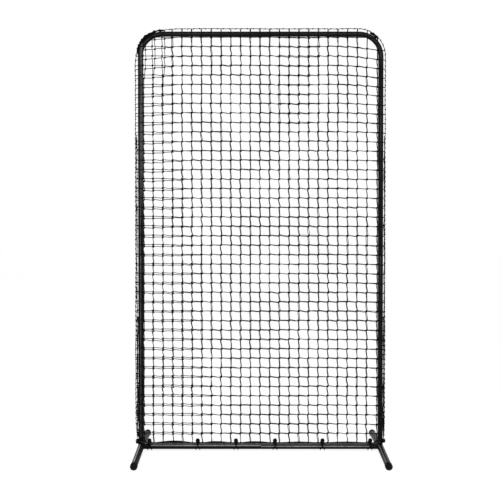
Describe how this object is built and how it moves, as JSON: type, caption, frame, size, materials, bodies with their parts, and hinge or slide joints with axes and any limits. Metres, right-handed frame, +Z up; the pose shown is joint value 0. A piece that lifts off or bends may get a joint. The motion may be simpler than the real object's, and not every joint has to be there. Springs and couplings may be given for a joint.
{
  "type": "baseball pitching screen",
  "caption": "Free-standing baseball pitching screen: a tall steel-tube frame on low base legs, covered by a slip-on square-mesh net that ball bungees draw down on the bottom rail.",
  "frame": {"origin": "on the ground, midway between the four feet", "axes": "+Z up along the uprights, +Y square to the net and away from the hitter's side, +X to the right seen from -Y"},
  "size_m": [1.2432, 0.6112, 2.1121],
  "materials": {
    "powder_coated_steel": "satin black powder coat",
    "rubber_cap": "matte moulded rubber",
    "plated_steel": "zinc plated",
    "spring_steel": "bare spring steel",
    "net_twine": "black knotted twine",
    "hem_rope": "black braided cord",
    "elastic_cord": "black braided elastic",
    "bungee_ball": "semi-gloss moulded plastic"
  },
  "bodies": {
    "frame": {"base_leg_left": "powder_coated_steel", "base_leg_right": "powder_coated_steel", "lower_upright_left": "powder_coated_steel", "lower_upright_right": "powder_coated_steel", "upper_upright_left": "powder_coated_steel", "upper_upright_right": "powder_coated_steel", "top_tube_left": "powder_coated_steel", "top_tube_right": "powder_coated_steel", "bottom_rail_left": "powder_coated_steel", "bottom_rail_right": "powder_coated_steel", "end_cap_front_left": "rubber_cap", "end_cap_front_right": "rubber_cap", "end_cap_rear_left": "rubber_cap", "end_cap_rear_right": "rubber_cap", "leaf_spring_base_left": "spring_steel", "leaf_spring_base_right": "spring_steel", "leaf_spring_rail_left": "spring_steel", "leaf_spring_rail_right": "spring_steel", "leaf_spring_middle_left": "spring_steel", "leaf_spring_middle_right": "spring_steel", "leaf_spring_corner_left": "spring_steel", "leaf_spring_corner_right": "spring_steel", "leaf_spring_rail_centre": "spring_steel", "leaf_spring_top_centre": "spring_steel", "net_front": "net_twine", "net_back": "net_twine", "seam_cord": "hem_rope", "hem_rope": "hem_rope", "bungee_loop_1": "elastic_cord", "bungee_loop_2": "elastic_cord", "bungee_loop_3": "elastic_cord", "bungee_loop_4": "elastic_cord", "bungee_loop_5": "elastic_cord", "bungee_loop_6": "elastic_cord"},
    "button_base_left": {"snap_button_base_left": "plated_steel"},
    "button_base_right": {"snap_button_base_right": "plated_steel"},
    "button_rail_left": {"snap_button_rail_left": "plated_steel"},
    "button_rail_right": {"snap_button_rail_right": "plated_steel"},
    "button_middle_left": {"snap_button_middle_left": "plated_steel"},
    "button_middle_right": {"snap_button_middle_right": "plated_steel"},
    "button_corner_left": {"snap_button_corner_left": "plated_steel"},
    "button_corner_right": {"snap_button_corner_right": "plated_steel"},
    "button_rail_centre": {"snap_button_rail_centre": "plated_steel"},
    "button_top_centre": {"snap_button_top_centre": "plated_steel"},
    "ball_1": {"bungee_ball_1": "bungee_ball"},
    "ball_2": {"bungee_ball_2": "bungee_ball"},
    "ball_3": {"bungee_ball_3": "bungee_ball"},
    "ball_4": {"bungee_ball_4": "bungee_ball"},
    "ball_5": {"bungee_ball_5": "bungee_ball"},
    "ball_6": {"bungee_ball_6": "bungee_ball"}
  },
  "joints": [
    {"name": "press_base_left", "type": "slide", "parent": "frame", "child": "button_base_left", "axis": [0, -1, 0], "range_m": [0, 0.0048], "stiffness_N_per_m": 2000, "springref_m": -0.002, "deforming": ["leaf_spring_base_left"]},
    {"name": "press_base_right", "type": "slide", "parent": "frame", "child": "button_base_right", "axis": [0, -1, 0], "range_m": [0, 0.0048], "stiffness_N_per_m": 2000, "springref_m": -0.002, "deforming": ["leaf_spring_base_right"]},
    {"name": "press_rail_left", "type": "slide", "parent": "frame", "child": "button_rail_left", "axis": [0, -1, 0], "range_m": [0, 0.0048], "stiffness_N_per_m": 2000, "springref_m": -0.002, "deforming": ["leaf_spring_rail_left"]},
    {"name": "press_rail_right", "type": "slide", "parent": "frame", "child": "button_rail_right", "axis": [0, -1, 0], "range_m": [0, 0.0048], "stiffness_N_per_m": 2000, "springref_m": -0.002, "deforming": ["leaf_spring_rail_right"]},
    {"name": "press_middle_left", "type": "slide", "parent": "frame", "child": "button_middle_left", "axis": [0, -1, 0], "range_m": [0, 0.0048], "stiffness_N_per_m": 2000, "springref_m": -0.002, "deforming": ["leaf_spring_middle_left"]},
    {"name": "press_middle_right", "type": "slide", "parent": "frame", "child": "button_middle_right", "axis": [0, -1, 0], "range_m": [0, 0.0048], "stiffness_N_per_m": 2000, "springref_m": -0.002, "deforming": ["leaf_spring_middle_right"]},
    {"name": "press_corner_left", "type": "slide", "parent": "frame", "child": "button_corner_left", "axis": [0, -1, 0], "range_m": [0, 0.0048], "stiffness_N_per_m": 2000, "springref_m": -0.002, "deforming": ["leaf_spring_corner_left"]},
    {"name": "press_corner_right", "type": "slide", "parent": "frame", "child": "button_corner_right", "axis": [0, -1, 0], "range_m": [0, 0.0048], "stiffness_N_per_m": 2000, "springref_m": -0.002, "deforming": ["leaf_spring_corner_right"]},
    {"name": "press_rail_centre", "type": "slide", "parent": "frame", "child": "button_rail_centre", "axis": [0, -1, 0], "range_m": [0, 0.0048], "stiffness_N_per_m": 2000, "springref_m": -0.002, "deforming": ["leaf_spring_rail_centre"]},
    {"name": "press_top_centre", "type": "slide", "parent": "frame", "child": "button_top_centre", "axis": [0, -1, 0], "range_m": [0, 0.0048], "stiffness_N_per_m": 2000, "springref_m": -0.002, "deforming": ["leaf_spring_top_centre"]},
    {"name": "pull_ball_1", "type": "slide", "parent": "frame", "child": "ball_1", "axis": [0, -0.4719, 0.8817], "range_m": [0, 0.02], "stiffness_N_per_m": 150, "springref_m": -0.02, "deforming": ["bungee_loop_1"]},
    {"name": "pull_ball_2", "type": "slide", "parent": "frame", "child": "ball_2", "axis": [0, -0.4719, 0.8817], "range_m": [0, 0.02], "stiffness_N_per_m": 150, "springref_m": -0.02, "deforming": ["bungee_loop_2"]},
    {"name": "pull_ball_3", "type": "slide", "parent": "frame", "child": "ball_3", "axis": [0, -0.4719, 0.8817], "range_m": [0, 0.02], "stiffness_N_per_m": 150, "springref_m": -0.02, "deforming": ["bungee_loop_3"]},
    {"name": "pull_ball_4", "type": "slide", "parent": "frame", "child": "ball_4", "axis": [0, -0.4719, 0.8817], "range_m": [0, 0.02], "stiffness_N_per_m": 150, "springref_m": -0.02, "deforming": ["bungee_loop_4"]},
    {"name": "pull_ball_5", "type": "slide", "parent": "frame", "child": "ball_5", "axis": [0, -0.4719, 0.8817], "range_m": [0, 0.02], "stiffness_N_per_m": 150, "springref_m": -0.02, "deforming": ["bungee_loop_5"]},
    {"name": "pull_ball_6", "type": "slide", "parent": "frame", "child": "ball_6", "axis": [0, -0.4719, 0.8817], "range_m": [0, 0.02], "stiffness_N_per_m": 150, "springref_m": -0.02, "deforming": ["bungee_loop_6"]}
  ]
}
